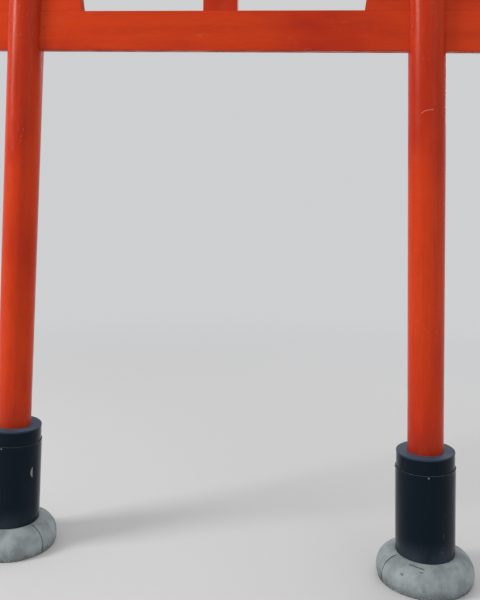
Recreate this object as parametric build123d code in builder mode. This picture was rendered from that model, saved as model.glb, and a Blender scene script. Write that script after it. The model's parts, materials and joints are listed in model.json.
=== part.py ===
"""Votive torii gate: two leaning pillars, a through tie beam with wedges, and upswept lintels.

X runs across the gate, Y through it and Z up. The origin lies on the ground, midway between
the pillars. All lengths are millimetres and all angles are degrees.
"""
from build123d import *
from math import asin, cos, radians, sin, tan
import os

# Pillars
pillar_spacing = 2220        # between the pillar axes at ground level
pillar_diameter = 178
pillar_lean = 2.5            # each pillar leans in towards the passage

# Tie beam, passed through both pillars
tie_beam_underside = 2620
tie_beam_height = 190
tie_beam_thickness = 60
tie_beam_projection = 246    # past the outer face of each pillar
tie_beam_edge = 2.5          # chamfer along its arrises

# Wedges, driven in above the tie beam from both sides of each pillar
wedge_outside_length = 205
wedge_inside_length = 62
wedge_height_at_pillar = 58
wedge_slope = 5.8
wedge_end_slant = 7
wedge_thickness = 56
wedge_edge = 2               # chamfer round its thick end

# Centre strut, between the tie beam and the lower lintel
strut_width = 168
strut_thickness = 52
strut_height = 262
strut_tenon_width = 112
strut_tenon_thickness = 24
strut_tenon_length = 38
strut_edge = 2

# Lower lintel
lower_lintel_height = 168
lower_lintel_thickness = 132
lower_lintel_reach = 1448    # from the centre to the middle of each end face
lintel_edge = 3              # chamfer along the arrises of both lintels

# Upper lintel
upper_lintel_height = 120    # at the centre; the ends are deeper
upper_lintel_thickness = 162
upper_lintel_reach = 1516

# Cap over the upper lintel, a low gable in section
cap_edge_height = 26
cap_ridge_height = 46
cap_overhang = 16
cap_reach = 1536

# Upswept line shared by both lintels
straight_half_length = 520
sweep_radius = 7600          # of the lower lintel's underside
crown_sweep_radius = 5900    # of the upper lintel's top, which rises faster
end_slant = 14               # the end faces lean outwards by this angle

# Pillar tenons, up into the lower lintel
pillar_tenon_width = 92
pillar_tenon_thickness = 54
pillar_tenon_length = 96

# Foot sleeve, collar and lid round each pillar
sleeve_diameter = 300
sleeve_wall = 13
sleeve_top = 588             # along the pillar, from the ground
sleeve_mouth_depth = 26      # rebate that takes the collar
sleeve_rim_edge = 3          # chamfer round the mouth
collar_diameter = 290
collar_wall = 9
collar_top = 660
lid_thickness = 8

# Base stone, two halves round each pillar
stone_diameter = 496
stone_foot_diameter = 474
stone_height = 140
stone_bulge_height = 46      # where the stone is widest
stone_bands = 3              # conical bands from there up to the seat
stone_seat_margin = 7        # flat past the sleeve's foot
stone_joint_turn = 25        # of the joint, from the passage towards the front
stone_joint_gap = 0.6

# Clearances
fit_clearance = 0.3          # round tenons, beams and rings
seat_clearance = 0.3         # between curved faces that lie on each other

# Levels and radii that follow from the sizes above
tie_beam_top = tie_beam_underside + tie_beam_height
lintel_underside = tie_beam_top + strut_height
lintel_joint = lintel_underside + lower_lintel_height
upper_lintel_bottom = lintel_joint + seat_clearance
upper_lintel_top = upper_lintel_bottom + upper_lintel_height
cap_bottom = upper_lintel_top + seat_clearance
joint_sweep_radius = sweep_radius - lower_lintel_height
upper_sweep_radius = joint_sweep_radius - seat_clearance
cap_sweep_radius = crown_sweep_radius - seat_clearance
pillar_radius = pillar_diameter / 2
pillar_length = lintel_underside / cos(radians(pillar_lean))
sides = {"left": -1, "right": 1}
hands = {"inner": -1, "outer": 1}
facings = {"front": 1, "rear": -1}


def axis_x(side, height):
    """X of a leaning pillar's axis at a height above the ground."""
    return side * (pillar_spacing / 2 - height * tan(radians(pillar_lean)))


def pillar_plane(side):
    """Plane square to a pillar's axis, at the ground."""
    lean = radians(pillar_lean)
    return Plane(
        origin=(axis_x(side, 0), 0, 0),
        x_dir=(cos(lean), 0, side * sin(lean)),
        z_dir=(-side * sin(lean), 0, cos(lean)),
    )


def sweep_point(base, radius, reach, share):
    """Point of the upswept line, at a share of the way from its straight part to its reach."""
    turn = asin((reach - straight_half_length) / radius) * share
    return (straight_half_length + radius * sin(turn), base + radius * (1 - cos(turn)))


def mirrored(point):
    return (-point[0], point[1])


def upswept_line(base, radius, reach):
    """Draws the upswept line from left to right, and returns its two ends."""
    straight_end = (straight_half_length, base)
    middle = sweep_point(base, radius, reach, 0.5)
    end = sweep_point(base, radius, reach, 1)
    ThreePointArc(mirrored(end), mirrored(middle), mirrored(straight_end))
    Line(mirrored(straight_end), straight_end)
    ThreePointArc(straight_end, middle, end)
    return mirrored(end), end


def upswept_face(bottom, bottom_radius, top, top_radius, reach):
    """Face between two upswept lines, in X and Z."""
    with BuildSketch(Plane.XZ) as face:
        with BuildLine():
            low_left, low_right = upswept_line(bottom, bottom_radius, reach)
            high_left, high_right = upswept_line(top, top_radius, reach)
            Line(low_left, high_left)
            Line(low_right, high_right)
        make_face()
    return face.sketch


def slant_ends(reach, level, radius):
    """Cuts both ends of a beam on the slant, at its reach and level."""
    slant = radians(end_slant)
    height = sweep_point(level, radius, reach, 1)[1]
    for side in sides.values():
        end = Plane(origin=(side * reach, 0, height), z_dir=(side * cos(slant), 0, -sin(slant)))
        split(bisect_by=end, keep=Keep.BOTTOM)


def mortise(centre_x, level, width, thickness, depth):
    """Cuts a mortise with fit clearance, up from a level, or down if the depth is negative."""
    with BuildSketch(Plane.XY.offset(level)) as mouth:
        with Locations((centre_x, 0)):
            Rectangle(width + 2 * fit_clearance, thickness + 2 * fit_clearance)
    extrude(mouth.sketch, amount=depth, mode=Mode.SUBTRACT)


def wedge_height(distance):
    """Height of a wedge above the tie beam, at a distance from the pillar's axis."""
    return wedge_height_at_pillar + (distance - pillar_radius) * tan(radians(wedge_slope))


def mortise_outline(side):
    """Corners of a pillar's through mortise in X and Z, with a roof that the wedges bear on."""
    centre = axis_x(side, tie_beam_top)
    reach = pillar_diameter
    return [
        (centre - reach, tie_beam_underside),
        (centre + reach, tie_beam_underside),
        (centre + reach, tie_beam_top + wedge_height(reach)),
        (centre, tie_beam_top + wedge_height(0)),
        (centre - reach, tie_beam_top + wedge_height(reach)),
    ]


def wedge_outline(side, hand):
    """Corners of a wedge in X and Z, thin end first, on the inner or outer side of a pillar."""
    centre = axis_x(side, tie_beam_top)
    out = side * hand
    thin_end = pillar_radius - wedge_inside_length
    thick_end = pillar_radius + wedge_outside_length
    top_end = thick_end - wedge_height(thick_end) * tan(radians(wedge_end_slant))
    return [
        (centre + out * thin_end, tie_beam_top),
        (centre + out * thick_end, tie_beam_top),
        (centre + out * top_end, tie_beam_top + wedge_height(top_end)),
        (centre + out * thin_end, tie_beam_top + wedge_height(thin_end)),
    ]


def stone_outline():
    """Half section of a base stone: flat foot, bulge, and a dome in bands up to the sleeve's seat."""
    seat = sleeve_diameter / 2 + stone_seat_margin
    bulge = stone_diameter / 2
    points = [(0, 0), (stone_foot_diameter / 2, 0)]
    for band in range(stone_bands + 1):
        turn = radians(90 * band / stone_bands)
        radius = seat + (bulge - seat) * cos(turn)
        height = stone_bulge_height + (stone_height - stone_bulge_height) * sin(turn)
        points.append((radius, height))
    points.append((0, stone_height))
    return points


def ring(plane, bottom, top, outer_radius, inner_radius):
    """Adds a ring round a pillar between two distances up its axis."""
    with BuildSketch(plane.offset(bottom)) as section:
        Circle(outer_radius)
        Circle(inner_radius, mode=Mode.SUBTRACT)
    extrude(section.sketch, amount=top - bottom)


os.makedirs("parts", exist_ok=True)

# Pillars: round, leaning, mortised for the tie beam and scribed to the lower lintel
for name, side in sides.items():
    with BuildPart() as pillar:
        spare = pillar_diameter
        with BuildSketch(pillar_plane(side).offset(-spare)):
            Circle(pillar_radius)
        extrude(amount=pillar_length + 2 * spare)
        split(bisect_by=Plane.XY, keep=Keep.TOP)
        above = upswept_face(lintel_underside, sweep_radius, lintel_joint + 2 * spare,
                             sweep_radius, lower_lintel_reach)
        extrude(above, amount=spare, both=True, mode=Mode.SUBTRACT)
        with BuildSketch(Plane.XY.offset(tie_beam_top + strut_height / 2)):
            with Locations((axis_x(side, lintel_underside), 0)):
                Rectangle(pillar_tenon_width, pillar_tenon_thickness)
        extrude(amount=strut_height / 2 + pillar_tenon_length)
        with BuildSketch(Plane.XZ):
            with BuildLine():
                Polyline(*mortise_outline(side), close=True)
            make_face()
        extrude(amount=tie_beam_thickness / 2 + fit_clearance, both=True, mode=Mode.SUBTRACT)
    pillar.part.label = f"{name}_pillar"
    export_step(pillar.part, f"parts/{name}_pillar.step")

# Tie beam: passes through both pillars and carries the centre strut
beam_reach = axis_x(1, tie_beam_underside) + pillar_radius + tie_beam_projection
with BuildPart() as tie_beam:
    with BuildSketch(Plane.XY.offset(tie_beam_underside)):
        Rectangle(2 * beam_reach, tie_beam_thickness)
    extrude(amount=tie_beam_height)
    chamfer(tie_beam.edges().filter_by(Axis.X), length=tie_beam_edge)
    mortise(0, tie_beam_top, strut_tenon_width, strut_tenon_thickness, -strut_tenon_length)
tie_beam.part.label = "tie_beam"
export_step(tie_beam.part, "parts/tie_beam.step")

# Wedges: two in each pillar, bearing on the tie beam and on the mortise's sloping roof
for name, side in sides.items():
    for hand_name, hand in hands.items():
        with BuildPart() as wedge:
            with BuildSketch(Plane.XZ):
                with BuildLine():
                    Polyline(*wedge_outline(side, hand), close=True)
                make_face()
            extrude(amount=wedge_thickness / 2, both=True)
            thick_end = wedge.faces().sort_by(Axis.X)[-1 if side * hand > 0 else 0]
            chamfer(thick_end.edges(), length=wedge_edge)
        wedge.part.label = f"{name}_{hand_name}_wedge"
        export_step(wedge.part, f"parts/{name}_{hand_name}_wedge.step")

# Centre strut: a board with a stub tenon at each end
with BuildPart() as centre_strut:
    with BuildSketch(Plane.XY.offset(tie_beam_top)):
        Rectangle(strut_width, strut_thickness)
    extrude(amount=strut_height)
    chamfer(centre_strut.edges().filter_by(Axis.Z), length=strut_edge)
    with BuildSketch(Plane.XY.offset(tie_beam_top - strut_tenon_length)):
        Rectangle(strut_tenon_width, strut_tenon_thickness)
    extrude(amount=strut_height + 2 * strut_tenon_length)
centre_strut.part.label = "centre_strut"
export_step(centre_strut.part, "parts/centre_strut.step")

# Lower lintel: upswept, mortised for the pillars and the strut
with BuildPart() as lower_lintel:
    outline = upswept_face(lintel_underside, sweep_radius, lintel_joint, joint_sweep_radius,
                           lower_lintel_reach + lower_lintel_height)
    extrude(outline, amount=lower_lintel_thickness / 2, both=True)
    slant_ends(lower_lintel_reach, (lintel_underside + lintel_joint) / 2, sweep_radius)
    chamfer(lower_lintel.faces().filter_by(Plane.XZ).edges(), length=lintel_edge)
    mortise(0, lintel_underside, strut_tenon_width, strut_tenon_thickness, strut_tenon_length)
    for side in sides.values():
        mortise(axis_x(side, lintel_underside), lintel_underside, pillar_tenon_width,
                pillar_tenon_thickness, pillar_tenon_length)
lower_lintel.part.label = "lower_lintel"
export_step(lower_lintel.part, "parts/lower_lintel.step")

# Upper lintel: lies along the lower one, with deeper ends
with BuildPart() as upper_lintel:
    outline = upswept_face(upper_lintel_bottom, upper_sweep_radius, upper_lintel_top,
                           crown_sweep_radius, upper_lintel_reach + upper_lintel_height)
    extrude(outline, amount=upper_lintel_thickness / 2, both=True)
    slant_ends(upper_lintel_reach, (upper_lintel_bottom + upper_lintel_top) / 2, upper_sweep_radius)
    chamfer(upper_lintel.faces().filter_by(Plane.XZ).edges(), length=lintel_edge)
upper_lintel.part.label = "upper_lintel"
export_step(upper_lintel.part, "parts/upper_lintel.step")

# Cap: a low gable section swept along the crown
cap_half_width = upper_lintel_thickness / 2 + cap_overhang
with BuildPart() as lintel_cap:
    with BuildLine(Plane.XZ) as crown_line:
        upswept_line(cap_bottom, cap_sweep_radius, cap_reach + cap_ridge_height)
    section = Plane(origin=crown_line.line @ 0, x_dir=(0, 1, 0), z_dir=crown_line.line % 0)
    with BuildSketch(section):
        with BuildLine():
            Polyline(
                (-cap_half_width, 0),
                (cap_half_width, 0),
                (cap_half_width, cap_edge_height),
                (0, cap_ridge_height),
                (-cap_half_width, cap_edge_height),
                close=True,
            )
        make_face()
    sweep()
    slant_ends(cap_reach, cap_bottom, cap_sweep_radius)
lintel_cap.part.label = "lintel_cap"
export_step(lintel_cap.part, "parts/lintel_cap.step")

# Foot sleeve, collar and lid, coaxial with each leaning pillar
sleeve_bore = sleeve_diameter / 2 - sleeve_wall
collar_radius = collar_diameter / 2
collar_foot = sleeve_top - sleeve_mouth_depth
for name, side in sides.items():
    plane = pillar_plane(side)
    with BuildPart() as sleeve:
        ring(plane, 0, collar_foot, sleeve_diameter / 2, sleeve_bore)
        ring(plane, collar_foot, sleeve_top, sleeve_diameter / 2, collar_radius + fit_clearance)
        split(bisect_by=Plane.XY.offset(stone_height), keep=Keep.TOP)
        mouth = sleeve.faces().sort_by(Axis(plane.origin, plane.z_dir))[-1]
        chamfer(mouth.outer_wire().edges(), length=sleeve_rim_edge)
    sleeve.part.label = f"{name}_sleeve"
    export_step(sleeve.part, f"parts/{name}_sleeve.step")

    with BuildPart() as collar:
        ring(plane, collar_foot, collar_top, collar_radius, collar_radius - collar_wall)
    collar.part.label = f"{name}_sleeve_collar"
    export_step(collar.part, f"parts/{name}_sleeve_collar.step")

    with BuildPart() as lid:
        ring(plane, collar_top, collar_top + lid_thickness, collar_radius, pillar_radius + fit_clearance)
    lid.part.label = f"{name}_sleeve_lid"
    export_step(lid.part, f"parts/{name}_sleeve_lid.step")

# Base stone: a squat turned ring, split into a front and a rear half
for name, side in sides.items():
    centre_x = axis_x(side, stone_height / 2)
    turn = radians(stone_joint_turn)
    for facing_name, facing in facings.items():
        away = Vector(facing * side * sin(turn), -facing * cos(turn), 0)
        with BuildPart() as stone:
            with BuildSketch(Plane(origin=(centre_x, 0, 0), x_dir=(1, 0, 0), z_dir=(0, -1, 0))):
                with BuildLine():
                    Polyline(*stone_outline(), close=True)
                make_face()
            revolve(axis=Axis((centre_x, 0, 0), (0, 0, 1)))
            with BuildSketch(pillar_plane(side).offset(-stone_height)):
                Circle(pillar_radius + fit_clearance)
            extrude(amount=3 * stone_height, mode=Mode.SUBTRACT)
            joint = Plane(origin=Vector(centre_x, 0, 0) + away * stone_joint_gap / 2, z_dir=away)
            split(bisect_by=joint, keep=Keep.TOP)
        stone.part.label = f"{name}_{facing_name}_stone"
        export_step(stone.part, f"parts/{name}_{facing_name}_stone.step")
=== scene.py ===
"""Votive torii gate: paint, weathering, worn stones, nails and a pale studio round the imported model.

Metres throughout, in the model's own frame: X across the gate, Y through it, Z up.
"""
import json
import random
from functools import partial, reduce
from math import asin, cos, pi, radians, sin

import bmesh
import bpy
from mathutils import Matrix, Vector, noise

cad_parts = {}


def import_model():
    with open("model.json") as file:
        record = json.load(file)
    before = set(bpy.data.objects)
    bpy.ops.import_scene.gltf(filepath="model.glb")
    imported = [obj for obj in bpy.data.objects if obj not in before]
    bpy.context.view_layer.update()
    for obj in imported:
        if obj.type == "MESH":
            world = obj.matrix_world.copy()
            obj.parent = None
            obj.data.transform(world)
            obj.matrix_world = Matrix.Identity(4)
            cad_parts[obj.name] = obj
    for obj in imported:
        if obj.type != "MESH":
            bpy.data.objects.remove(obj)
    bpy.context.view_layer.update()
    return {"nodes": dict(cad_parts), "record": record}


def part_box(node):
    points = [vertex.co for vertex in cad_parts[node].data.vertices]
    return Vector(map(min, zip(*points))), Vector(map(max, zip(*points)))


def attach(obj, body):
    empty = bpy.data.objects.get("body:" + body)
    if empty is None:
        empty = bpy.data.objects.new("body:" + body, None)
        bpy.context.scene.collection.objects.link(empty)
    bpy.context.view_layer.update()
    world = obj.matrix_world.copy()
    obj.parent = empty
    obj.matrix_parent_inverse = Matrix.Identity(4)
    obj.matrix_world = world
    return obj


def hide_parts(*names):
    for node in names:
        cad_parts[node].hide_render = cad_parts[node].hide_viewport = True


# Camera that matches the photograph
photograph_height = 600      # pixels
camera_place = Vector((0.590, -3.841, 2.058))
camera_yaw = -6.97           # degrees, towards +X
camera_pitch = -6.48
camera_roll = 1.27
focal_pixels = 773
principal_shift_pixels = 45  # the optical axis meets the photograph this far above its middle
sensor = 36                  # millimetres, along the longer side
camera_reach = 200

# Colours, linear
vermilion_fresh = (0.600, 0.043, 0.0050)
vermilion_deep = (0.430, 0.020, 0.0045)
vermilion_faded = (0.640, 0.070, 0.020)
vermilion_gloss_tint = (1.0, 0.74, 0.64)
scraped_paint = (0.700, 0.300, 0.220)
undercoat = (0.520, 0.170, 0.085)
bare_timber = (0.205, 0.165, 0.130)
# Dark tone of dirt and cracks, also used for painted shade under the beams.
grime_and_shade_tone = (0.032, 0.022, 0.017)
cap_black = (0.016, 0.0165, 0.018)
cap_weathered = (0.070, 0.069, 0.064)
sleeve_black = (0.0020, 0.0054, 0.0105)
sleeve_gloss_tint = (0.60, 0.83, 1.0)
sleeve_scuff = (0.050, 0.062, 0.075)
chipped_sleeve = (0.220, 0.230, 0.240)
sleeve_dust = (0.088, 0.108, 0.134)
lid_dust = (0.080, 0.112, 0.168)
stone_pale = (0.328, 0.374, 0.388)
stone_dark = (0.205, 0.238, 0.250)
# Dark tone of stains, also used for painted shade at the stones' foot and in their pits, hole, groove
# and nick.
stone_stain_and_shade = (0.075, 0.078, 0.070)
moss = (0.070, 0.090, 0.035)
nail_steel = (0.200, 0.195, 0.185)
nail_rust = (0.085, 0.062, 0.050)
backdrop = (0.62, 0.625, 0.635)
floor_grey = (0.66, 0.665, 0.675)

# Base stones and sleeves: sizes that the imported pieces' boxes don't tell
stone_bore = 0.0893          # radius of the hole round the post
stone_seat_radius = 0.157    # the flat top under the sleeve
stone_bulge_height = 0.046   # where the stone is widest
stone_foot_inset = 0.011     # how far it draws in again at the ground
stone_joint_turn = 25        # degrees that the joint is turned to the front, on the passage side
sleeve_wall = 0.013
sleeve_mouth_depth = 0.026   # depth of the rebate that takes the collar
ring_fit = 0.0003            # gap between turned pieces
ring_turns = 144             # steps round a sleeve or lid

# Wear that the photograph shows. A point is its distance from the post's axis, the degrees round
# the axis from the front towards +X, and its height.
post_scratch = ((0.089, -23, 2.328), (0.089, -15, 2.338), (0.089, -6, 2.343), (0.089, 12, 2.346))
scratch_half_width = 0.0032
sleeve_chip = (0.150, 66.5, 0.427)
chip_half_height = 0.031
chip_width = 0.0155
# The stone's hole, groove and nick are shallow bumps darkened with painted shade.
stone_hole = ((0.2315, -35.5, 0.100), (0.2315, -34, 0.100))
stone_hole_half_width = 0.0085
stone_groove = ((0.176, -30, 0.135), (0.187, -8, 0.132))
stone_groove_half_width = 0.0066
stone_nick = ((0.206, -13, 0.122), (0.206, -9, 0.122))
stone_nick_half_width = 0.0050

# Light
surroundings_level = 0.66

sides = {"left": -1, "right": 1}
facings = {"front": 1, "rear": -1}


class Tree:
    """Node tree of a new material or world, with short calls for the nodes used here."""

    def __init__(self, owner):
        self.owner = owner
        owner.use_nodes = True
        self.nodes = owner.node_tree.nodes
        self.links = owner.node_tree.links

    def put(self, socket, value):
        """Links a socket to another, or sets it to a number, vector or colour."""
        if isinstance(value, bpy.types.NodeSocket):
            self.links.new(value, socket)
        elif hasattr(value, "__len__") and socket.type == "RGBA":
            socket.default_value = (*value, 1)
        else:
            socket.default_value = value

    def math(self, operation, first, second=0.0):
        node = self.nodes.new("ShaderNodeMath")
        node.operation = operation
        self.put(node.inputs[0], first)
        self.put(node.inputs[1], second)
        return node.outputs[0]

    def times(self, *values):
        return reduce(partial(self.math, "MULTIPLY"), values)

    def highest(self, *values):
        return reduce(partial(self.math, "MAXIMUM"), values)

    def without(self, share):
        """What a share leaves of 1."""
        return self.math("SUBTRACT", 1.0, share)

    def vector_math(self, operation, first, second):
        node = self.nodes.new("ShaderNodeVectorMath")
        node.operation = operation
        self.put(node.inputs[0], first)
        self.put(node.inputs[1], second)
        return node.outputs["Value" if operation in ("DOT_PRODUCT", "DISTANCE") else "Vector"]

    def place(self):
        return self.nodes.new("ShaderNodeTexCoord").outputs["Object"]

    def split(self, vector):
        node = self.nodes.new("ShaderNodeSeparateXYZ")
        self.put(node.inputs[0], vector)
        return node.outputs

    def join(self, x, y, z):
        node = self.nodes.new("ShaderNodeCombineXYZ")
        for socket, value in zip(node.inputs, (x, y, z)):
            self.put(socket, value)
        return node.outputs[0]

    def stretched(self, vector, scale, seed):
        """The vector scaled by one or three numbers, and moved so that no two seeds' patterns agree."""
        if not hasattr(scale, "__len__"):
            scale = (scale, scale, scale)
        node = self.nodes.new("ShaderNodeMapping")
        self.put(node.inputs["Vector"], vector)
        node.inputs["Scale"].default_value = scale
        node.inputs["Location"].default_value = (seed * 3.17, seed * 5.31, seed * 7.73)
        return node.outputs[0]

    def noise(self, vector, scale, seed, detail=4, roughness=0.55):
        """Noise from 0 to 1; the scale is features a metre, one number or three."""
        node = self.nodes.new("ShaderNodeTexNoise")
        self.put(node.inputs["Vector"], self.stretched(vector, scale, seed))
        node.inputs["Scale"].default_value = 1
        node.inputs["Detail"].default_value = detail
        node.inputs["Roughness"].default_value = roughness
        return node.outputs["Fac"]

    def cells(self, vector, scale, seed, feature="F1"):
        """Distance inside a cell pattern; the scale is cells a metre, one number or three."""
        node = self.nodes.new("ShaderNodeTexVoronoi")
        node.feature = feature
        self.put(node.inputs["Vector"], self.stretched(vector, scale, seed))
        node.inputs["Scale"].default_value = 1
        return node.outputs["Distance"]

    def ramp(self, value, start, end, low=0.0, high=1.0):
        """Smooth step from low at the start to high at the end, held outside."""
        node = self.nodes.new("ShaderNodeMapRange")
        node.interpolation_type = "SMOOTHSTEP"
        self.put(node.inputs["Value"], value)
        node.inputs["From Min"].default_value = min(start, end)
        node.inputs["From Max"].default_value = max(start, end)
        node.inputs["To Min"].default_value = low if start < end else high
        node.inputs["To Max"].default_value = high if start < end else low
        return node.outputs["Result"]

    def mix(self, share, first, second):
        """Colour between the first, at share 0, and the second, at share 1."""
        node = self.nodes.new("ShaderNodeMix")
        node.data_type = "RGBA"
        self.put(node.inputs["Factor"], share)
        self.put(node.inputs[6], first)
        self.put(node.inputs[7], second)
        return node.outputs[2]

    def blend(self, share, first, second):
        """Number between the first, at share 0, and the second, at share 1."""
        node = self.nodes.new("ShaderNodeMix")
        self.put(node.inputs[0], share)
        self.put(node.inputs[2], first)
        self.put(node.inputs[3], second)
        return node.outputs[0]

    def blend_shaders(self, share, first, second):
        """Shader between the first, at share 0, and the second, at share 1."""
        node = self.nodes.new("ShaderNodeMixShader")
        for socket, value in zip(node.inputs, (share, first, second)):
            self.put(socket, value)
        return node.outputs[0]

    def bump(self, height, depth, below=None):
        """Normal of a height from 0 to 1 that is depth metres deep, over another bump."""
        node = self.nodes.new("ShaderNodeBump")
        node.inputs["Distance"].default_value = depth
        self.put(node.inputs["Height"], height)
        if below is not None:
            self.put(node.inputs["Normal"], below)
        return node.outputs[0]

    def near_line(self, vector, points, inside, outside):
        """1 within a distance of a line through some points, and 0 beyond another; metres."""
        shares = []
        for start, end in zip(points, points[1:]):
            run = end - start
            relative = self.vector_math("SUBTRACT", vector, start)
            along = self.vector_math("DOT_PRODUCT", relative, run / run.length_squared)
            along = self.math("MINIMUM", self.math("MAXIMUM", along, 0.0), 1.0)
            nearest = self.vector_math("MULTIPLY", self.join(along, along, along), run)
            gap = self.vector_math("DISTANCE", relative, nearest)
            shares.append(self.ramp(gap, outside, inside))
        return self.highest(*shares)

    def sliver(self, vector, edge, across, half_height, width):
        """1 inside a sliver with pointed ends, 0 outside: it bulges across from a straight edge."""
        softness = 0.0012
        relative = self.vector_math("SUBTRACT", vector, edge)
        along = self.math("DIVIDE", self.split(relative)[2], half_height)
        from_edge = self.vector_math("DOT_PRODUCT", relative, across)
        bulge = self.times(self.without(self.times(along, along)), width)
        depth = self.math("MINIMUM", from_edge, self.math("SUBTRACT", bulge, from_edge))
        return self.ramp(depth, 0.0, softness)

    def shaken(self, vector, scale, reach, seed):
        """The vector moved about by noise, by up to half the reach in metres."""
        draws = [self.noise(vector, scale, seed + i, detail=3) for i in range(3)]
        offsets = [self.math("SUBTRACT", draw, 0.5) for draw in draws]
        moved = self.vector_math("MULTIPLY", self.join(*offsets), (reach, reach, reach))
        return self.vector_math("ADD", vector, moved)

    def facing(self, axis):
        """How far a face looks along an axis, 0 to 2 for X to Z, either way."""
        normal = self.nodes.new("ShaderNodeNewGeometry").outputs["Normal"]
        return self.math("ABSOLUTE", self.split(normal)[axis])

    def seen(self):
        """1 for what the camera sees, straight or by way of gloss or glass, and 0 for what lights."""
        ray = self.nodes.new("ShaderNodeLightPath").outputs
        return self.highest(ray["Is Camera Ray"], ray["Is Glossy Ray"], ray["Is Transmission Ray"])

    def surface(self, **values):
        """Sets the surface's inputs, named with underscores, and gives its shader."""
        node = self.nodes["Principled BSDF"]
        for name, value in values.items():
            self.put(node.inputs[name.replace("_", " ")], value)
        return node.outputs[0]


def post_line(side_name):
    """Foot and direction of a post's axis, from the record's mount and the collar's middle."""
    mounts = {mount["name"]: mount for mount in frame["record"]["mounts"]}
    foot = Vector(mounts[f"{side_name}_post_foot"]["pos_m"])
    low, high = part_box(f"{side_name}_sleeve_collar")
    return foot, ((low + high) / 2 - foot).normalized()


def beside_post(side_name, radius, turn, height):
    """Point at a radius from a post's axis, degrees round it from the front towards +X, and a height."""
    foot, axis = post_line(side_name)
    return Vector((
        foot.x + axis.x / axis.z * height + radius * sin(radians(turn)),
        -radius * cos(radians(turn)),
        height,
    ))


def post_space(tree, side_name):
    """Coordinates with Z up the leaning post's axis, from its foot."""
    foot, axis = post_line(side_name)
    across = Vector((axis.z, 0, -axis.x))
    relative = tree.vector_math("SUBTRACT", tree.place(), foot)
    return tree.join(
        tree.vector_math("DOT_PRODUCT", relative, across),
        tree.split(relative)[1],
        tree.vector_math("DOT_PRODUCT", relative, axis),
    )


def beam_space(tree):
    """Coordinates with Z along the beam."""
    x, y, z = tree.split(tree.place())
    return tree.join(z, y, x)


def foot_soil(tree, side_name):
    """Grime on a post just over its lid."""
    reach = 0.16
    overlap = 0.02
    lid_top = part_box(f"{side_name}_sleeve_lid")[1].z
    height = tree.split(tree.place())[2]
    return tree.ramp(height, lid_top + reach, lid_top - overlap)


def top_dust_and_underside_shade(tree):
    """Dust and dirt on a beam's top, and painted shade darkening its underside."""
    return tree.ramp(tree.facing(2), 0.75, 0.95)


def tie_beam_dust_and_shade(tree):
    """The same, and painted shade darkening the tie beam along its lower edge."""
    lower_edge_shade_height = 0.020
    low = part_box("tie_beam")[0].z
    height = tree.split(tree.place())[2]
    lower_edge_shade = tree.times(tree.ramp(height, low + lower_edge_shade_height, low), 0.6)
    return tree.highest(top_dust_and_underside_shade(tree), lower_edge_shade)


def paint_colour(tree, vector, seed, mottle):
    """Vermilion with deeper clouds and runs, and faded streaks and mottles."""
    clouds = tree.noise(vector, (3.0, 3.0, 1.1), seed, detail=3)
    streaks = tree.noise(vector, (46, 46, 0.9), seed + 1, detail=5, roughness=0.62)
    runs = tree.noise(vector, (17, 17, 0.55), seed + 2, detail=3)
    colour = tree.mix(tree.ramp(clouds, 0.30, 0.62), vermilion_deep, vermilion_fresh)
    colour = tree.mix(tree.ramp(streaks, 0.52, 0.80, high=0.30), colour, vermilion_faded)
    colour = tree.mix(tree.ramp(runs, 0.55, 0.30, high=0.25), colour, vermilion_deep)
    return tree.mix(tree.ramp(mottle, 0.55, 0.85, high=0.25), colour, vermilion_faded)


def paint_wear(tree, vector, seed, wear, checks):
    """Shares of paint chipped to the undercoat, chipped to the wood, and cracked along the grain."""
    places = tree.ramp(tree.noise(vector, (4.5, 4.5, 1.6), seed + 4, detail=3), 0.50, 0.72)
    flakes = tree.noise(vector, (95, 95, 34), seed + 5, detail=5, roughness=0.6)
    chip = tree.times(tree.ramp(flakes, 0.63, 0.66), places, wear)
    deep_chip = tree.times(tree.ramp(flakes, 0.69, 0.715), places, wear)
    check_lines = tree.cells(vector, (17, 17, 0.35), seed + 6, feature="DISTANCE_TO_EDGE")
    check_places = tree.ramp(tree.noise(vector, (9, 9, 1.6), seed + 7, detail=2), 0.58, 0.70)
    check = tree.times(tree.ramp(check_lines, 0.014, 0.005), check_places, checks)
    return chip, deep_chip, check


def paint_relief(tree, vector, seed, broken):
    """Normal of planed and brushed timber, sunk where the paint is broken."""
    grain = tree.noise(vector, (210, 210, 3.5), seed + 10, detail=3)
    uneven = tree.noise(vector, (9, 9, 2.2), seed + 11, detail=2)
    brush = tree.noise(vector, (420, 420, 14), seed + 12, detail=2)
    normal = tree.bump(uneven, depth=0.0036)
    normal = tree.bump(grain, depth=0.00038, below=normal)
    normal = tree.bump(brush, depth=0.00012, below=normal)
    return tree.bump(tree.without(broken), depth=0.0006, below=normal)


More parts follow.
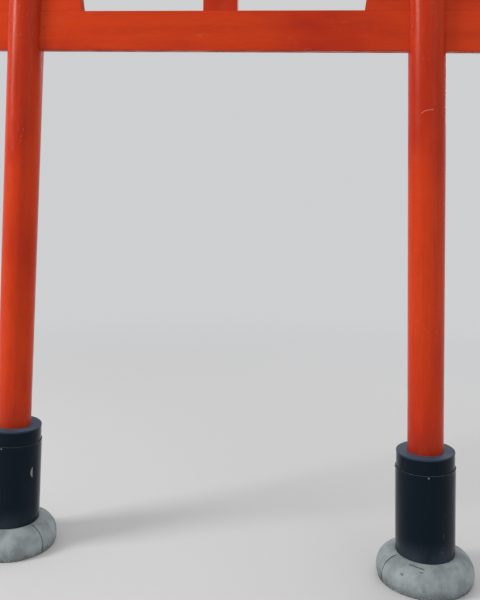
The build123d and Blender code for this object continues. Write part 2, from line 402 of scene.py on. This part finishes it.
def vermilion(name, space, seed, wear=1.0, checks=0.0, soil_and_shade=None, scratch=None, ends=False):
    """Gloss vermilion on planed timber, with its grain along the space's Z.

    wear scales the chips and checks the cracks along the grain; soil_and_shade(tree) gives where
    dirt gathers, and where painted shade darkens beam undersides and the tie beam's lower edge,
    from 0 to 1; scratch is a line of points along which the gloss is scraped pale; ends tells that
    the ends across X show, where the grain drinks the paint.
    """
    tree = Tree(bpy.data.materials.new(name))
    vector = space(tree)
    mottle = tree.noise(vector, (28, 28, 12), seed + 3)
    chip, deep_chip, check = paint_wear(tree, vector, seed, wear, checks)
    broken = tree.highest(chip, check)
    colour = paint_colour(tree, vector, seed, mottle)
    colour = tree.mix(chip, colour, undercoat)
    colour = tree.mix(deep_chip, colour, bare_timber)
    colour = tree.mix(tree.times(check, 0.85), colour, grime_and_shade_tone)
    if scratch:
        shaken = tree.shaken(tree.place(), 60, reach=0.006, seed=seed + 13)
        line = tree.near_line(shaken, scratch, scratch_half_width / 4, scratch_half_width)
        colour = tree.mix(tree.times(line, 0.55), colour, scraped_paint)
    dust = tree.times(tree.ramp(tree.noise(vector, (60, 60, 9), seed + 8), 0.45, 0.75), 0.10)
    colour = tree.mix(dust, colour, grime_and_shade_tone)
    # Darkening: dust at random, dirt at a post's foot and on beam tops, and painted shade on beam
    # undersides and along the tie beam's lower edge.
    dirt_and_shade = dust
    if soil_and_shade:
        patches = tree.ramp(tree.noise(vector, (22, 22, 9), seed + 9, detail=5), 0.25, 0.75)
        dirt_and_shade = tree.times(soil_and_shade(tree), patches)
        colour = tree.mix(tree.times(dirt_and_shade, 0.35), colour, grime_and_shade_tone)

    roughness = tree.blend(tree.ramp(mottle, 0.30, 0.75), 0.22, 0.37)
    roughness = tree.blend(broken, roughness, 0.78)
    roughness = tree.blend(tree.times(dirt_and_shade, 0.9), roughness, 0.75)
    if ends:
        end = tree.ramp(tree.facing(0), 0.70, 0.90)
        rings = tree.ramp(tree.noise(vector, (130, 34, 2), seed + 14), 0.40, 0.70, low=0.25, high=0.75)
        colour = tree.mix(tree.times(end, rings), colour, vermilion_deep)
        roughness = tree.blend(end, roughness, 0.72)
    tree.surface(
        Base_Color=colour,
        Roughness=roughness,
        Normal=paint_relief(tree, vector, seed, broken),
        Specular_IOR_Level=0.23,
        Specular_Tint=vermilion_gloss_tint,
    )
    return tree.owner


def black_cap_paint():
    """Black paint on the rain cap, chalky and dusty on top, with a little lichen."""
    tree = Tree(bpy.data.materials.new("black_cap_paint"))
    vector = beam_space(tree)
    clouds = tree.noise(vector, (7, 7, 1.6), 30)
    streaks = tree.noise(vector, (70, 70, 2.5), 31, detail=5)
    flakes = tree.noise(vector, (80, 80, 30), 32, detail=5, roughness=0.6)
    spots = tree.ramp(tree.cells(vector, 19, 33), 0.13, 0.06)
    grain = tree.noise(vector, (180, 180, 4), 34, detail=3)
    uneven = tree.noise(vector, (10, 10, 3), 35, detail=2)
    upward = tree.ramp(tree.facing(2), 0.5, 0.95)
    weathered = tree.times(tree.ramp(clouds, 0.36, 0.70), tree.ramp(streaks, 0.25, 0.7))
    weathered = tree.highest(tree.times(weathered, 0.45), tree.times(weathered, upward))
    chip = tree.times(tree.ramp(flakes, 0.64, 0.67), tree.ramp(clouds, 0.5, 0.66))
    lichen = tree.times(spots, upward, tree.ramp(clouds, 0.52, 0.62))
    colour = tree.mix(weathered, cap_black, cap_weathered)
    colour = tree.mix(chip, colour, bare_timber)
    colour = tree.mix(tree.times(lichen, 0.40), colour, stone_pale)
    normal = tree.bump(uneven, depth=0.003)
    normal = tree.bump(grain, depth=0.0006, below=normal)
    normal = tree.bump(tree.without(chip), depth=0.0006, below=normal)
    tree.surface(Base_Color=colour, Roughness=tree.blend(weathered, 0.42, 0.74), Normal=normal)
    return tree.owner


def sleeve_film(tree, vector, seed, clouds, dusty):
    """Dust on a sleeve: low down, splashed, run down in drips, lying on flat tops, and all over."""
    height = tree.split(vector)[2]
    drips = tree.noise(vector, (58, 58, 2.6), seed + 1, detail=5, roughness=0.6)
    low_dust = tree.times(tree.ramp(height, 0.26, 0.13), tree.ramp(clouds, 0.25, 0.65), 0.38)
    shaken = tree.shaken(vector, 90, reach=0.008, seed=seed + 7)
    drops = tree.ramp(tree.cells(shaken, 120, seed + 4), 0.30, 0.12)
    splash = tree.times(drops, tree.ramp(clouds, 0.42, 0.60), tree.ramp(height, 0.26, 0.15), 0.22)
    runs = tree.times(tree.ramp(drips, 0.58, 0.78), 0.10)
    upward = tree.ramp(tree.facing(2), 0.55, 0.97)
    lying = tree.times(upward, tree.ramp(clouds, 0.20, 0.60, low=0.55, high=0.95))
    return tree.highest(low_dust, splash, runs, lying, dusty)


def sleeve_gloss(name, side_name, seed, dusty=0.0, dust=sleeve_dust, chip=None):
    """Glossy black of the foot sleeves: scuffed, dusty low down, with dust lying on flat tops.

    dusty is the film of dust all over; chip is the middle of the straight edge of a sliver
    where the black has come off.
    """
    tree = Tree(bpy.data.materials.new(name))
    vector = post_space(tree, side_name)
    clouds = tree.noise(vector, (6, 6, 3), seed)
    scratches = tree.noise(vector, (260, 260, 9), seed + 2, detail=3)
    flaking = tree.noise(vector, (34, 34, 15), seed + 3, detail=6, roughness=0.66)
    scuff = tree.times(tree.ramp(scratches, 0.62, 0.76), tree.ramp(clouds, 0.50, 0.70), 0.40)
    patch = tree.times(tree.ramp(flaking, 0.60, 0.66), tree.ramp(clouds, 0.54, 0.66), 0.60)
    film = sleeve_film(tree, vector, seed, clouds, dusty)
    colour = tree.mix(tree.highest(scuff, patch), sleeve_black, sleeve_scuff)
    colour = tree.mix(tree.times(film, 0.85), colour, dust)
    roughness = tree.blend(tree.ramp(clouds, 0.35, 0.7), 0.09, 0.18)
    roughness = tree.blend(tree.highest(film, scuff, patch), roughness, 0.62)
    if chip:
        outward = Vector((chip.x - post_line(side_name)[0].x, chip.y, 0)).normalized()
        across = Vector((outward.y, -outward.x, 0))
        shaken = tree.shaken(tree.place(), 120, reach=0.003, seed=9)
        bare = tree.sliver(shaken, chip, across, chip_half_height, chip_width)
        colour = tree.mix(bare, colour, chipped_sleeve)
        roughness = tree.blend(bare, roughness, 0.7)
    normal = tree.bump(tree.noise(vector, (5, 5, 2), seed + 5, detail=2), depth=0.0030)
    fine = tree.noise(vector, (150, 150, 60), seed + 6, detail=2)
    normal = tree.bump(fine, depth=0.00006, below=normal)
    normal = tree.bump(tree.without(patch), depth=0.0004, below=normal)
    tree.surface(
        Base_Color=colour,
        Roughness=roughness,
        Normal=normal,
        Specular_IOR_Level=0.17,
        Specular_Tint=sleeve_gloss_tint,
    )
    return tree.owner


def stone_colour(tree, vector, seed, foot, clouds, grit):
    """Grey stone: speckle, bands, stains that run out from the post's foot, darkening at the ground that
    is partly dirt and partly painted shade, and moss at the ground.
    """
    height = tree.split(vector)[2]
    level = tree.vector_math("MULTIPLY", tree.vector_math("SUBTRACT", vector, foot), (1, 1, 0))
    speckle = tree.noise(vector, 520, seed + 1, detail=2)
    runs = tree.noise(level, 42, seed + 4)
    bands = tree.noise(vector, (3, 3, 70), seed + 5, detail=3)
    moss_places = tree.ramp(tree.noise(vector, 16, seed + 6, detail=5), 0.56, 0.66)
    moss_patch = tree.times(moss_places, tree.ramp(height, 0.10, 0.01))
    # Darkening within 55 mm of the ground: partly dirt, partly painted shade at the stone's foot.
    ground_dirt_and_shade = tree.times(tree.ramp(height, 0.055, 0.0), tree.ramp(grit, 0.32, 0.62))
    colour = tree.mix(tree.ramp(clouds, 0.33, 0.66), stone_dark, stone_pale)
    colour = tree.mix(tree.ramp(speckle, 0.50, 0.72, high=0.35), colour, stone_dark)
    colour = tree.mix(tree.ramp(grit, 0.56, 0.74, high=0.30), colour, stone_pale)
    colour = tree.mix(tree.ramp(bands, 0.56, 0.78, high=0.22), colour, stone_dark)
    colour = tree.mix(tree.ramp(runs, 0.56, 0.76, high=0.20), colour, stone_stain_and_shade)
    colour = tree.mix(tree.times(ground_dirt_and_shade, 0.80), colour, stone_stain_and_shade)
    return tree.mix(tree.times(moss_patch, 0.55), colour, moss)


def weathered_stone(name, side_name, seed, cuts=()):
    """Grey base stone, stained and pitted.

    cuts are lines of points along which the stone is nicked, each with half its width; the nicks are
    shallow bumps darkened with painted shade.
    """
    tree = Tree(bpy.data.materials.new(name))
    vector = tree.place()
    clouds = tree.noise(vector, 9, seed)
    grit = tree.noise(vector, 170, seed + 2)
    pit_places = tree.ramp(tree.noise(vector, 24, seed + 8, detail=3), 0.44, 0.60)
    pits = tree.times(tree.ramp(tree.cells(vector, 120, seed + 3), 0.17, 0.05), pit_places)
    shaken = tree.shaken(vector, 75, reach=0.008, seed=seed + 9)
    # Pits and cut marks darken towards the stain tone: painted shade in these hollows, with dirt in the
    # pits.
    for points, half_width in cuts:
        pits = tree.highest(pits, tree.near_line(shaken, points, half_width * 0.3, half_width))
    colour = stone_colour(tree, vector, seed, post_line(side_name)[0], clouds, grit)
    normal = tree.bump(tree.noise(vector, 26, seed + 7, detail=3), depth=0.0030)
    normal = tree.bump(grit, depth=0.0008, below=normal)
    tree.surface(
        Base_Color=tree.mix(tree.times(pits, 0.75), colour, stone_stain_and_shade),
        Roughness=tree.blend(tree.ramp(clouds, 0.3, 0.7), 0.80, 0.66),
        Normal=tree.bump(tree.without(pits), depth=0.0016, below=normal),
    )
    return tree.owner


def nail_metal():
    """Dull steel nail heads with rust in patches."""
    tree = Tree(bpy.data.materials.new("nail_metal"))
    rust = tree.ramp(tree.noise(tree.place(), 240, 60), 0.46, 0.66)
    tree.surface(
        Base_Color=tree.mix(rust, nail_steel, nail_rust),
        Roughness=tree.blend(rust, 0.38, 0.80),
        Normal=tree.bump(tree.noise(tree.place(), 600, 61, detail=3), depth=0.0002),
        Metallic=0.5,
    )
    return tree.owner


def paint_node(node, material):
    """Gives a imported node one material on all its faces."""
    piece = frame["nodes"][node]
    piece.data.materials.clear()
    piece.data.materials.append(material)


def paint_posts():
    """Materials of the posts and of the wedges beside them."""
    scratch = [beside_post("right", *point) for point in post_scratch]
    for order, side_name in enumerate(sides):
        paint_node(f"{side_name}_pillar", vermilion(
            f"vermilion_{side_name}_post",
            space=partial(post_space, side_name=side_name),
            seed=100 + 20 * order,
            wear=0.8,
            checks=0.6,
            soil_and_shade=partial(foot_soil, side_name=side_name),
            scratch=scratch if side_name == "right" else None,
        ))
        for hand in ("inner", "outer"):
            wedge = f"{side_name}_{hand}_wedge"
            paint_node(wedge, vermilion(
                f"vermilion_{wedge}",
                space=beam_space,
                seed=316 + 10 * order,
                wear=1.3,
                soil_and_shade=top_dust_and_underside_shade,
                ends=True,
            ))


def paint_beams():
    """Materials of the tie beam, the strut, the lintels and their cap."""
    paint_node("tie_beam", vermilion(
        "vermilion_tie_beam",
        space=beam_space,
        seed=400,
        wear=0.5,
        soil_and_shade=tie_beam_dust_and_shade,
        ends=True,
    ))
    paint_node("centre_strut", vermilion("vermilion_strut", space=Tree.place, seed=420))
    for order, lintel in enumerate(("lower_lintel", "upper_lintel")):
        paint_node(lintel, vermilion(
            f"vermilion_{lintel}",
            space=beam_space,
            seed=440 + 20 * order,
            wear=0.9,
            checks=0.5,
            soil_and_shade=top_dust_and_underside_shade,
            ends=True,
        ))
    paint_node("lintel_cap", black_cap_paint())


def new_piece(name, shape, material, slot, *replaced):
    """Makes an object of a finished bmesh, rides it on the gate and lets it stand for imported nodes."""
    sharp_turn = 42
    mesh = bpy.data.meshes.new(name)
    shape.to_mesh(mesh)
    shape.free()
    mesh.materials.append(material)
    piece = bpy.data.objects.new(name, mesh)
    bpy.context.scene.collection.objects.link(piece)
    for face in mesh.polygons:
        face.use_smooth = True
    mesh.set_sharp_from_angle(angle=radians(sharp_turn))
    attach(piece, "root")
    if replaced:
        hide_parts(*replaced)


def join_rings(shape, rings, closed):
    """Adds the faces between rings of as many points, and from the last ring to the first if closed."""
    following = rings[1:] + rings[:1] if closed else rings[1:]
    count = len(rings[0])
    for ring, next_ring in zip(rings, following):
        for i in range(count):
            j = (i + 1) % count
            shape.faces.new((ring[i], ring[j], next_ring[j], next_ring[i]))


class StoneHalf:
    """Place and sizes of one half of a base stone, from its packed box."""

    def __init__(self, side_name, facing_name):
        self.node = f"{side_name}_{facing_name}_stone"
        low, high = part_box(self.node)
        self.height = high.z
        self.bulge_radius = max(high.y, -low.y)
        self.foot, self.axis = post_line(side_name)
        self.centre = self.on_axis(self.height / 2)
        turn = radians(stone_joint_turn)
        facing = facings[facing_name]
        self.away = Vector((facing * sides[side_name] * sin(turn), -facing * cos(turn), 0))
        self.across = Vector((-self.away.y, self.away.x, 0))

    def on_axis(self, level):
        """Where the post's axis is at a level, moved down to the ground."""
        return Vector((self.foot.x + self.axis.x / self.axis.z * level, 0, 0))

    def outward(self, angle):
        """Level direction at an angle from the middle of the half."""
        return self.away * cos(angle) + self.across * sin(angle)

    def dome_radius(self, turn):
        """Radius of the dome, from the bulge at turn 0 to the seat at a quarter turn."""
        return stone_seat_radius + (self.bulge_radius - stone_seat_radius) * cos(turn)

    def outline(self):
        """Closed outline as radius and height, from the bore's foot round the outside to its top."""
        under_steps = 6
        dome_steps = 22
        line = [(stone_bore, 0.0)]
        for step in range(under_steps):
            turn = pi / 2 * (1 - step / under_steps)
            radius = self.bulge_radius - stone_foot_inset * (1 - cos(turn))
            line.append((radius, stone_bulge_height * (1 - sin(turn))))
        for step in range(dome_steps + 1):
            turn = pi / 2 * step / dome_steps
            dome_height = (self.height - stone_bulge_height) * sin(turn)
            line.append((self.dome_radius(turn), stone_bulge_height + dome_height))
        return [*line, (stone_bore, self.height)]


def stone_half(side_name, facing_name, material):
    """One half of a base stone: a rounded dome with a worn joint, chips and a weathered skin."""
    joint_gap = 0.0012
    edge_round = 0.0018
    rim_start = 0.001  # edges that reach lower stay sharp
    turns = 120
    half = StoneHalf(side_name, facing_name)
    outline = half.outline()
    shape = bmesh.new()
    rings = []
    for turn in range(turns + 1):
        angle = -pi / 2 + pi * turn / turns
        ring = []
        for radius, level in outline:
            near_joint = asin(joint_gap / 2 / radius)
            shifted = max(-pi / 2 + near_joint, min(pi / 2 - near_joint, angle))
            middle = half.on_axis(level) if radius == stone_bore else half.centre
            spot = middle + half.outward(shifted) * radius
            ring.append(shape.verts.new((spot.x, spot.y, level)))
        rings.append(ring)
    join_rings(shape, rings, closed=False)
    ends = [shape.faces.new(rings[0][::-1]), shape.faces.new(rings[-1])]
    bmesh.ops.recalc_face_normals(shape, faces=shape.faces[:])
    rim = [edge for face in ends for edge in face.edges if min(v.co.z for v in edge.verts) > rim_start]
    bmesh.ops.bevel(shape, geom=rim, offset=edge_round, segments=3, profile=0.5, affect="EDGES")
    weather_stone(shape, half)
    new_piece(f"{side_name}_{facing_name}_stone_worn", shape, material, "base_stone", half.node)


def stone_chips(half, draw):
    """Chips near the joint and along the foot, each as a place, a size and a bite."""
    joint_chips = 7
    foot_chips = 5
    foot_inset = 0.008
    foot_level = 0.004
    chips = []
    for _ in range(joint_chips):
        hand = draw.choice((-1, 1))
        lift = draw.uniform(0.15, 0.95)
        spot = half.centre + half.across * hand * half.dome_radius(lift * pi / 2)
        size = draw.uniform(0.007, 0.015)
        bite = draw.uniform(0.002, 0.005)
        chips.append((Vector((spot.x, spot.y, half.height * lift)), size, bite))
    for _ in range(foot_chips):
        spot = half.centre + half.outward(draw.uniform(-1.4, 1.4)) * (half.bulge_radius - foot_inset)
        size = draw.uniform(0.012, 0.026)
        bite = draw.uniform(0.003, 0.006)
        chips.append((Vector((spot.x, spot.y, foot_level)), size, bite))
    return chips


def weather_stone(shape, half):
    """Sinks the stone's skin a little by noise, and knocks its chips off."""
    skin_depth = 0.0045
    coarse_scale = 11
    fine_scale = 38
    fine_share = 0.3
    seat_margin = 0.02
    on_ground = 0.0005
    reach = 9  # how far the noise is moved from stone to stone
    draw = random.Random(half.node)
    shift = Vector([draw.uniform(-reach, reach) for _ in range(3)])
    chips = stone_chips(half, draw)
    shape.normal_update()
    for vertex in shape.verts:
        from_centre = (vertex.co.xy - half.centre.xy).length
        if vertex.co.z < on_ground or from_centre < stone_seat_radius:
            continue
        clear_of_seat = min(1, (from_centre - stone_seat_radius) / seat_margin)
        sunk = skin_depth * (0.5 + 0.5 * noise.noise(vertex.co * coarse_scale + shift))
        sunk += skin_depth * fine_share * (0.5 + 0.5 * noise.noise(vertex.co * fine_scale + shift))
        for spot, size, bite in chips:
            gap = (vertex.co - spot).length
            if gap < size:
                sunk += bite * (1 - (gap / size) ** 2)
        vertex.co -= vertex.normal * sunk * clear_of_seat
        vertex.co.z = max(vertex.co.z, 0.0)


def turned_ring(side_name, outline, low=None, dent=0.0):
    """Closed ring turned about a leaning post's axis.

    The outline is radius and distance up the axis. What would lie under the level low is cut
    off flat there. Outer rows sink by up to the dent.
    """
    dent_scale = 5
    foot, axis = post_line(side_name)
    across = Vector((axis.z, 0, -axis.x))
    outer = max(radius for radius, distance in outline)
    shape = bmesh.new()
    rings = []
    for turn in range(ring_turns):
        angle = 2 * pi * turn / ring_turns
        outward = across * cos(angle) + Vector((0, 1, 0)) * sin(angle)
        ring = []
        for radius, distance in outline:
            spot = foot + axis * distance + outward * radius
            if radius == outer:
                spot -= outward * dent * (0.5 + 0.5 * noise.noise(spot * dent_scale))
            if low is not None and spot.z < low:
                spot += axis * ((low - spot.z) / axis.z)
            ring.append(shape.verts.new(spot))
        rings.append(ring)
    join_rings(shape, rings, closed=True)
    bmesh.ops.recalc_face_normals(shape, faces=shape.faces[:])
    return shape


def rounded_rim(outer, top, lip):
    """Points round the outer upper edge of a ring."""
    steps = 4
    turns = [pi / 2 * step / steps for step in range(steps + 1)]
    return [(outer - lip + lip * cos(turn), top - lip + lip * sin(turn)) for turn in turns]


def ring_size(node, side_name):
    """Outer radius and upper end of a packed ring, along its post's axis."""
    axis = post_line(side_name)[1]
    low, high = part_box(node)
    radius = (high.y - low.y) / 2
    return radius, (high.z - radius * abs(axis.x)) / axis.z


def sleeve_tube(side_name, material):
    """Foot sleeve: a faintly uneven tube with a rounded mouth, and a rebate that takes the collar."""
    rows = 26
    lip = 0.0030
    rebate_edge = 0.001
    dent = 0.0009
    below_foot = 0.02  # the rows start this far under the foot, and are cut off flat there
    weld = 0.00001
    radius, mouth = ring_size(f"{side_name}_sleeve", side_name)
    rebate_radius = ring_size(f"{side_name}_sleeve_collar", side_name)[0] + ring_fit
    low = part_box(f"{side_name}_sleeve")[0].z
    start = low - below_foot
    step = (mouth - lip - start) / rows
    outline = [(radius, start + step * row) for row in range(rows)]
    outline += rounded_rim(radius, mouth, lip)
    outline += [
        (rebate_radius + rebate_edge, mouth),
        (rebate_radius, mouth - rebate_edge),
        (rebate_radius, mouth - sleeve_mouth_depth),
        (radius - sleeve_wall, mouth - sleeve_mouth_depth),
        (radius - sleeve_wall, start),
    ]
    shape = turned_ring(side_name, outline, low, dent)
    bmesh.ops.remove_doubles(shape, verts=shape.verts[:], dist=weld)
    new_piece(f"{side_name}_sleeve_tube", shape, material, "black_sleeve", f"{side_name}_sleeve")


def sleeve_cover(side_name, material):
    """Lid of a sleeve: a flat ring with a rounded rim, closed against the post."""
    lip = 0.0025
    radius, top = ring_size(f"{side_name}_sleeve_lid", side_name)
    bottom = ring_size(f"{side_name}_sleeve_collar", side_name)[1]
    low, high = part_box(f"{side_name}_pillar")
    bore = (high.y - low.y) / 2 + ring_fit
    outline = [(bore, bottom), (radius, bottom), *rounded_rim(radius, top, lip), (bore, top)]
    shape = turned_ring(side_name, outline)
    new_piece(f"{side_name}_sleeve_cover", shape, material, "black_sleeve", f"{side_name}_sleeve_lid")


def nail_head(shape, spot, outward, radius, height):
    """Adds a low domed nail head on a surface."""
    steps = 14
    sunk = -0.25
    rows = [(1.0, sunk), (1.0, 0.25), (0.86, 0.66), (0.52, 0.93)]  # shares of radius and height
    across = outward.orthogonal().normalized()
    along = outward.cross(across)
    rings = []
    for share, lift in rows:
        ring = []
        for step in range(steps):
            turn = 2 * pi * step / steps
            round_it = across * cos(turn) + along * sin(turn)
            ring.append(shape.verts.new(spot + round_it * radius * share + outward * height * lift))
        rings.append(ring)
    join_rings(shape, rings, closed=False)
    top = shape.verts.new(spot + outward * height)
    bottom = shape.verts.new(spot + outward * height * sunk)
    for i in range(steps):
        j = (i + 1) % steps
        shape.faces.new((rings[-1][i], rings[-1][j], top))
        shape.faces.new((rings[0][j], rings[0][i], bottom))


def sleeve_nails(side_name, material):
    """Nail heads round a sleeve, a little under its mouth."""
    nails = 4
    below_mouth = 0.009
    head_radius = 0.0050
    head_height = 0.0020
    foot, axis = post_line(side_name)
    radius, mouth = ring_size(f"{side_name}_sleeve", side_name)
    across = Vector((axis.z, 0, -axis.x))
    shape = bmesh.new()
    for nail in range(nails):
        turn = 2 * pi * nail / nails
        outward = across * sin(turn) + Vector((0, -1, 0)) * cos(turn)
        spot = foot + axis * (mouth - below_mouth) + outward * radius
        nail_head(shape, spot, outward, head_radius, head_height)
    bmesh.ops.recalc_face_normals(shape, faces=shape.faces[:])
    new_piece(f"{side_name}_sleeve_nails", shape, material, "black_sleeve")


def dress_stones():
    """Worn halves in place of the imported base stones."""
    marks = (
        (stone_hole, stone_hole_half_width),
        (stone_groove, stone_groove_half_width),
        (stone_nick, stone_nick_half_width),
    )
    right_cuts = [([beside_post("right", *point) for point in points], width) for points, width in marks]
    materials = {
        "left": weathered_stone("left_weathered_stone", "left", seed=500),
        "right": weathered_stone("right_weathered_stone", "right", seed=520, cuts=right_cuts),
    }
    for side_name in sides:
        for facing_name in facings:
            stone_half(side_name, facing_name, materials[side_name])


def dress_sleeves():
    """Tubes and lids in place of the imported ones, gloss on the collars, and nails."""
    chip = beside_post("left", *sleeve_chip)
    steel = nail_metal()
    for order, side_name in enumerate(sides):
        gloss = sleeve_gloss(
            f"{side_name}_sleeve_gloss",
            side_name,
            seed=200 + 20 * order,
            chip=chip if side_name == "left" else None,
        )
        lid_gloss = sleeve_gloss(
            f"{side_name}_lid_gloss",
            side_name,
            seed=240 + 20 * order,
            dusty=0.35,
            dust=lid_dust,
        )
        paint_node(f"{side_name}_sleeve_collar", gloss)
        sleeve_tube(side_name, gloss)
        sleeve_cover(side_name, lid_gloss)
        sleeve_nails(side_name, steel)


def camera():
    """Camera at the photograph's place, turned and shifted as there."""
    yaw, pitch, roll = (radians(angle) for angle in (camera_yaw, camera_pitch, camera_roll))
    forward = Vector((sin(yaw) * cos(pitch), cos(yaw) * cos(pitch), sin(pitch)))
    level = Vector((cos(yaw), -sin(yaw), 0))
    upright = level.cross(forward)
    right = level * cos(roll) + upright * sin(roll)
    up = upright * cos(roll) - level * sin(roll)
    data = bpy.data.cameras.new("camera")
    data.sensor_width = sensor
    data.lens = sensor * focal_pixels / photograph_height
    data.shift_y = -principal_shift_pixels / photograph_height
    data.clip_end = camera_reach
    eye = bpy.data.objects.new("camera", data)
    turned = Matrix((right, up, -forward)).transposed().to_4x4()
    eye.matrix_world = Matrix.Translation(camera_place) @ turned
    bpy.context.scene.collection.objects.link(eye)
    bpy.context.scene.camera = eye


def floor_paint():
    """Pale floor that fades into the backdrop with distance, and keeps the gate's shadow."""
    fade_start = 2.2
    fade_end = 7
    tree = Tree(bpy.data.materials.new("pale_floor"))
    glow = tree.nodes.new("ShaderNodeEmission")
    tree.put(glow.inputs["Color"], backdrop)
    x, y, _ = tree.split(tree.place())
    distance = tree.math("SQRT", tree.math("ADD", tree.times(x, x), tree.times(y, y)))
    faded = tree.times(tree.ramp(distance, fade_start, fade_end), tree.seen())
    matt = tree.surface(Base_Color=floor_grey, Roughness=0.9, Specular_IOR_Level=0.1)
    shader = tree.blend_shaders(faded, matt, glow.outputs[0])
    tree.put(tree.nodes["Material Output"].inputs["Surface"], shader)
    return tree.owner


def floor():
    """Wide round floor under the gate."""
    reach = 60
    shape = bmesh.new()
    bmesh.ops.create_circle(shape, cap_ends=True, segments=96, radius=reach)
    mesh = bpy.data.meshes.new("floor")
    shape.to_mesh(mesh)
    shape.free()
    mesh.materials.append(floor_paint())
    ground = bpy.data.objects.new("floor", mesh)
    bpy.context.scene.collection.objects.link(ground)


def world():
    """Even pale surroundings, which light the gate and show as the backdrop."""
    tree = Tree(bpy.data.worlds.new("studio"))
    bpy.context.scene.world = tree.owner
    lighting = tree.nodes["Background"]
    tree.put(lighting.inputs["Color"], (1, 1, 1))
    tree.put(lighting.inputs["Strength"], surroundings_level)
    shown = tree.nodes.new("ShaderNodeBackground")
    tree.put(shown.inputs["Color"], backdrop)
    shader = tree.blend_shaders(tree.seen(), lighting.outputs[0], shown.outputs[0])
    tree.put(tree.nodes["World Output"].inputs["Surface"], shader)


def lamp(name, place, target, width, height, watts, colour=(1, 1, 1)):
    """Soft rectangular lamp aimed at a point."""
    data = bpy.data.lights.new(name, "AREA")
    data.shape = "RECTANGLE"
    data.size = width
    data.size_y = height
    data.energy = watts
    data.color = colour
    light = bpy.data.objects.new(name, data)
    light.location = place
    light.rotation_mode = "QUATERNION"
    light.rotation_quaternion = (Vector(target) - Vector(place)).to_track_quat("-Z", "Y")
    bpy.context.scene.collection.objects.link(light)


def lamps():
    """A warm lamp from the left, a faint cool one opposite, and one behind."""
    lamp(
        "key",
        place=(-7.0, -3.4, 5.4),
        target=(0, 0, 1.4),
        width=2.2,
        height=4.2,
        watts=430,
        colour=(1.0, 0.97, 0.93),
    )
    lamp(
        "fill",
        place=(4.2, -4.2, 2.8),
        target=(0, 0, 1.4),
        width=2.4,
        height=3.0,
        watts=14,
        colour=(0.93, 0.96, 1.0),
    )
    lamp("rim", place=(2.6, 4.6, 3.8), target=(0, 0, 1.6), width=3.4, height=2.6, watts=40)


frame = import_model()

paint_posts()
paint_beams()
dress_stones()
dress_sleeves()

camera()
floor()
world()
lamps()
bpy.context.scene.view_settings.view_transform = "Standard"
